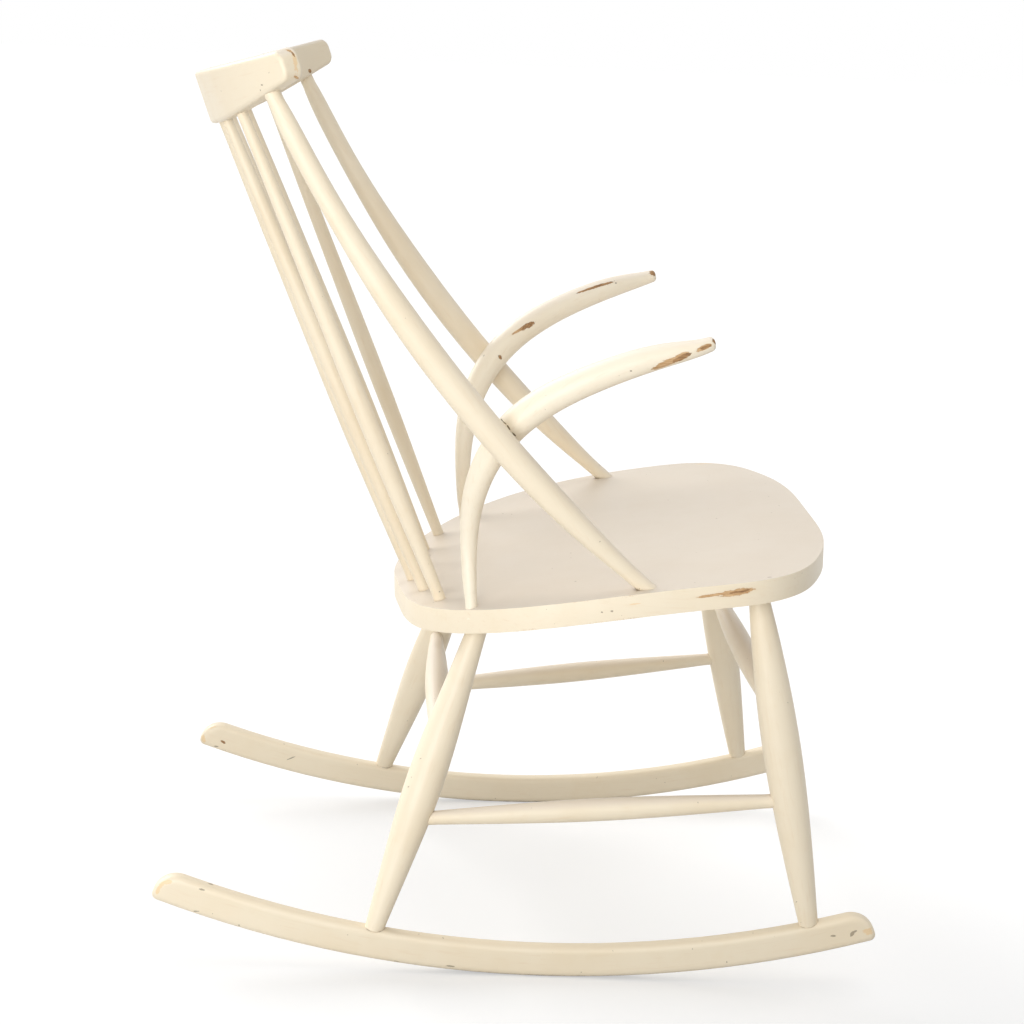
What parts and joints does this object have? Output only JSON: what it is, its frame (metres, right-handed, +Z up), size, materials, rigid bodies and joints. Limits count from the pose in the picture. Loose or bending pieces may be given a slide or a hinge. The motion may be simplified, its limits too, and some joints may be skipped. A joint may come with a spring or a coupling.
{
  "type": "rocking chair",
  "caption": "Low wooden rocking chair with a solid seat, thin turned spindles under a short curved crest rail, bowed uprights and bent arms, on two curved runners.",
  "frame": {"origin": "on the floor under the middle of the chair: the centre of the bounding box's bottom face", "axes": "+Z up, -Y to the front of the chair, +X to the sitter's left; the chair is symmetric about X = 0"},
  "size_m": [0.6028, 0.7465, 0.9288],
  "materials": {
    "painted_wood": "worn cream paint over turned, bent and sawn beech"
  },
  "bodies": {
    "root": {"arm_left": "painted_wood", "arm_right": "painted_wood", "crest_rail": "painted_wood", "front_leg_left": "painted_wood", "front_leg_right": "painted_wood", "front_stretcher": "painted_wood", "rear_leg_left": "painted_wood", "rear_leg_right": "painted_wood", "rear_stretcher": "painted_wood", "runner_left": "painted_wood", "runner_right": "painted_wood", "seat": "painted_wood", "side_stretcher_left": "painted_wood", "side_stretcher_right": "painted_wood", "spindle_1": "painted_wood", "spindle_2": "painted_wood", "spindle_3": "painted_wood", "spindle_4": "painted_wood", "spindle_5": "painted_wood", "spindle_6": "painted_wood", "upright_left": "painted_wood", "upright_right": "painted_wood"}
  },
  "joints": []
}
